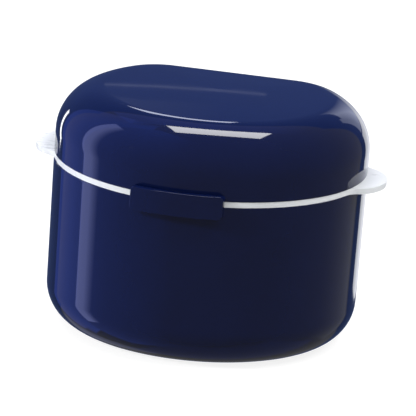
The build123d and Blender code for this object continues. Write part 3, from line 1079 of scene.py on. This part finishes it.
class RinseBasket(Operator):
    """Model the rinse basket: a drained cup with a flange and two ears"""

    bl_idname = "denture_case.rinse_basket"
    bl_label = "Rinse Basket"

    def execute(self, context):
        case = context.scene.denture_case
        shell, sizes = case.shell, case.basket
        inset = shell.wall + sizes.gap
        floor_z = basket_low.z
        floor_inset = 16 * MM
        flange_z = SEAM_Z - sizes.flange
        basket = add_cup(
            "basket", shell, inset, sizes.wall, SEAM_Z, floor_z, sizes.edge, sizes.draft, floor_inset
        )

        # The flange's inner edge lies inside the cup's wall, so that the two join cleanly.
        outer_y = FRONT_Y + sizes.flange_inset
        inner_y = FRONT_Y + inset + sizes.wall / 2
        flange = add_upright_plane("flange", outer_y, inner_y, flange_z, SEAM_Z)
        flange_end = CENTRE_Y + sizes.flange_back
        open_mesh(flange)
        keep_outline()
        spin(FLANGE_STEPS, FLANGE_SWEEP)
        mirror_half(flange)
        select_all()
        bpy.ops.mesh.bisect(
            plane_co=(0, flange_end, 0), plane_no=(0, 1, 0), clear_outer=True, use_fill=False
        )
        for side in (-1, 1):
            select("EDGE", lambda edge: edge.is_boundary and edge.verts[0].co.x * side > 0)
            bpy.ops.mesh.edge_face_add()
        face_outwards()
        close_mesh()

        ear_centre = CASE_RADIUS - sizes.ear_inset
        ear_length = basket_high.x - ear_centre
        ear_root = CASE_RADIUS - inset
        for side in (-1, 1):
            ear = add_post("ear", 1, 0, 0, flange_z, SEAM_Z, EAR_SIDES)
            open_mesh(ear)
            select_all()
            bpy.ops.transform.resize(value=(ear_length, sizes.ear_width, 1), center_override=(0, 0, 0))
            bpy.ops.transform.translate(value=(side * ear_centre, CENTRE_Y, 0))
            bpy.ops.mesh.bisect(
                plane_co=(side * ear_root, 0, 0), plane_no=(side, 0, 0), clear_inner=True, use_fill=True
            )
            close_mesh()
            combine(flange, "UNION", ear)
            for end in (-1, 1):
                combine(flange, "UNION", add_ear_blend(sizes, side, end, flange_z, SEAM_Z))
        open_mesh(flange)
        select_all()
        bpy.ops.mesh.remove_doubles(threshold=SLIVER)
        round_edges(
            lambda edge: max(axis_distance(vert) for vert in edge.verts) > ear_root + MM
            and at(edge.verts[0].co.z, edge.verts[1].co.z),
            sizes.flange_round,
        )
        close_mesh()
        combine(basket, "UNION", flange)

        top_z = floor_z + sizes.wall + SPARE
        drain = add_post("drain", sizes.drain_radius, 0, CENTRE_Y, floor_z - SPARE, top_z, HOLE_SIDES)
        # Each ring has six holes more than the one inside it, round a single hole in the middle.
        places = [Matrix()]
        for ring in range(1, sizes.drain_rings + 1):
            reach = Vector((ring * sizes.drain_pitch, 0, 0))
            holes = 6 * ring
            for hole in range(holes):
                places.append(Matrix.Translation(Matrix.Rotation(2 * pi * hole / holes, 3, "Z") @ reach))

        half_width, half_height = sizes.slot_width / 2, sizes.slot_height / 2
        inside_y = CENTRE_Y - CASE_RADIUS / 2  # well inside the basket
        slot = add_box(
            "slot",
            (-half_width, FRONT_Y, sizes.slot_middle - half_height),
            (half_width, inside_y, sizes.slot_middle + half_height),
        )
        open_mesh(slot)
        round_edges(runs_along_y, ROUND_END * sizes.slot_width, SLOT_END_STEPS)
        close_mesh()
        axis = Matrix.Translation((0, CENTRE_Y, 0))
        turns = [
            axis @ Matrix.Rotation(step * sizes.slot_step, 4, "Z") @ axis.inverted()
            for step in range(-sizes.slots, sizes.slots + 1)
        ]
        combine(basket, "DIFFERENCE", join(spread(drain, places) + spread(slot, turns)))
        finish_piece(basket, white_pp(), "basket", "rinse_basket")
        return {"FINISHED"}


class FrontClasp(Operator):
    """Model the clasp: a curved plate that snaps onto its pin and hooks its lip under the catch rib"""

    bl_idname = "denture_case.front_clasp"
    bl_label = "Front Clasp"

    def execute(self, context):
        sizes = context.scene.denture_case.clasp
        outer_y = FRONT_Y - sizes.stand_off
        pocket_y = FRONT_Y - sizes.pocket
        low_z, high_z = clasp_low.z, clasp_high.z
        lip_z = low_z + sizes.lip_height
        band_z = high_z - sizes.band
        clasp = add_upright_plane("clasp", outer_y, pocket_y, low_z, high_z)
        open_mesh(clasp)
        for z in (lip_z, band_z):
            select_all()
            bpy.ops.mesh.bisect(plane_co=(0, 0, z), plane_no=(0, 0, 1))
        for bottom, top, gap in ((low_z, lip_z, sizes.lip_gap), (band_z, high_z, sizes.back_gap)):
            select(
                "EDGE",
                lambda edge: all(at(vert.co.y, pocket_y) for vert in edge.verts)
                and at(sum(vert.co.z for vert in edge.verts), bottom + top),
            )
            extrude(y=sizes.pocket - gap)
        bpy.ops.mesh.select_mode(type="FACE")
        select_all()
        bpy.ops.mesh.dissolve_faces()
        round_corner(FRONT_Y - sizes.back_gap, high_z, sizes.band_round, segments=4)
        keep_outline()
        spin(CLASP_STEPS, asin(clasp_high.x / CASE_RADIUS) + CLASP_OVERSWEEP)
        bpy.ops.mesh.edge_face_add()
        mirror_half(clasp)
        close_mesh()
        behind_y = FRONT_Y + 5 * MM  # the plate's ends curve back by less than this
        block = add_box("block", (clasp_low.x, outer_y - SPARE, low_z), (clasp_high.x, behind_y, high_z))
        open_mesh(block)
        round_edges(runs_along_y, sizes.corner, segments=6)
        close_mesh()
        combine(clasp, "INTERSECT", block)
        open_mesh(clasp)
        # The outer face's points lie on its radius or, where the block cuts a flat, a hair inside it.
        face_radius = CASE_RADIUS + sizes.stand_off - 0.1 * MM
        round_edges(
            lambda edge: min(axis_distance(vert) for vert in edge.verts) > face_radius,
            sizes.edge,
            segments=4,
        )
        close_mesh()

        notch_half = sizes.lug_width / 2 + sizes.lug_gap
        notch_radius = sizes.lug_radius + sizes.lug_gap
        bore_half = sizes.bore / 2
        bore_radius = sizes.pin_radius + sizes.pin_gap
        combine(
            clasp,
            "DIFFERENCE",
            add_rod("notch", notch_radius, -notch_half, notch_half, CLASP_PIN_Y, CLASP_PIN_Z),
            add_box(
                "notch_mouth",
                (-notch_half, CLASP_PIN_Y, band_z - SPARE),
                (notch_half, FRONT_Y + SPARE, high_z + SPARE),
            ),
            add_rod("bore", bore_radius, -bore_half, bore_half, CLASP_PIN_Y, CLASP_PIN_Z, HOLE_SIDES),
            add_box(
                "snap_slot",
                (-bore_half, CLASP_PIN_Y, CLASP_PIN_Z - sizes.slot / 2),
                (bore_half, FRONT_Y + SPARE, CLASP_PIN_Z + sizes.slot / 2),
            ),
        )
        finish_piece(clasp, navy_abs(), "clasp", "front_clasp")
        return {"FINISHED"}


class SteelPins(Operator):
    """Give the hinge pin and the clasp pin their drawn steel"""

    bl_idname = "denture_case.steel_pins"
    bl_label = "Steel Pins"

    def execute(self, context):
        steel = drawn_steel()
        for node in ("hinge_pin", "clasp_pin"):
            frame["nodes"][node].material_slots[0].material = steel
        return {"FINISHED"}


class Stage(Operator):
    """Set up the floor, the lamps, the world and the camera"""

    bl_idname = "denture_case.stage"
    bl_label = "Stage"

    def execute(self, context):
        scene = context.scene
        stage = scene.denture_case.stage
        scene.view_settings.view_transform = "Standard"

        # The floor is white for the camera and keeps a faint shadow; reflections look through it, as
        # they do through a glass table, at lamps that reach below it.
        floor = add_panel("floor", Matrix(), stage.floor_size, stage.floor_size, white_board(stage))
        floor.visible_glossy = False

        scene.world = bpy.data.worlds.new("studio_room")
        light_room(scene.world, stage)
        for plan in LAMPS:
            add_lamp(stage, plan)
        # The cloth glows and only reflections see it: it paints dim blue reflections on the case.
        stand, width, height = panel_place(stage, "behind", 0, *CLOTH_SPANS)
        stand @= Matrix.Translation((0, 0, CLOTH_BEHIND))
        cloth = add_panel("cloth", stand, width, height, glowing_cloth(stage))
        for ray in ("camera", "diffuse", "transmission", "shadow"):
            setattr(cloth, "visible_" + ray, False)

        turned = facing(stage.azimuth, stage.elevation)
        aim = Matrix.Translation(VIEW_POINT) @ turned @ Matrix.Translation(VIEW_SHIFT)
        roll = Matrix.Rotation(stage.roll, 4, "Z")
        bpy.ops.object.camera_add()
        camera = context.object
        camera.name = "camera"
        camera.data.lens = stage.lens
        camera.matrix_world = aim @ roll @ Matrix.Translation((0, 0, stage.distance))
        scene.camera = camera
        return {"FINISHED"}


class CasePanel(Panel):
    """Sidebar panel with the operators and the settings of the denture case"""

    bl_idname = "VIEW3D_PT_denture_case"
    bl_label = "Denture Case"
    bl_space_type = "VIEW_3D"
    bl_region_type = "UI"
    bl_category = "Denture Case"

    def draw(self, context):
        for operator in OPERATORS:
            self.layout.operator(operator.bl_idname)
        case = context.scene.denture_case
        for name in CaseSettings.__annotations__:
            group = getattr(case, name)
            box = self.layout.box()
            for setting in group.__annotations__:
                box.prop(group, setting)


OPERATORS = (BaseShell, LidShell, LidSeal, RinseBasket, FrontClasp, SteelPins, Stage)
GROUPS = (ShellSizes, HingeSizes, SealSizes, BasketSizes, ClaspSizes, Finishes, StageSettings, CaseSettings)
CLASSES = (*GROUPS, *OPERATORS, CasePanel)


def register():
    for entry in CLASSES:
        bpy.utils.register_class(entry)
    bpy.types.Scene.denture_case = PointerProperty(type=CaseSettings)


def unregister():
    del bpy.types.Scene.denture_case
    for entry in reversed(CLASSES):
        bpy.utils.unregister_class(entry)


def main():
    register()
    bpy.ops.denture_case.base_shell()
    bpy.ops.denture_case.lid_shell()
    bpy.ops.denture_case.lid_seal()
    bpy.ops.denture_case.rinse_basket()
    bpy.ops.denture_case.front_clasp()
    bpy.ops.denture_case.steel_pins()
    bpy.ops.denture_case.stage()


if __name__ == "__main__":
    main()
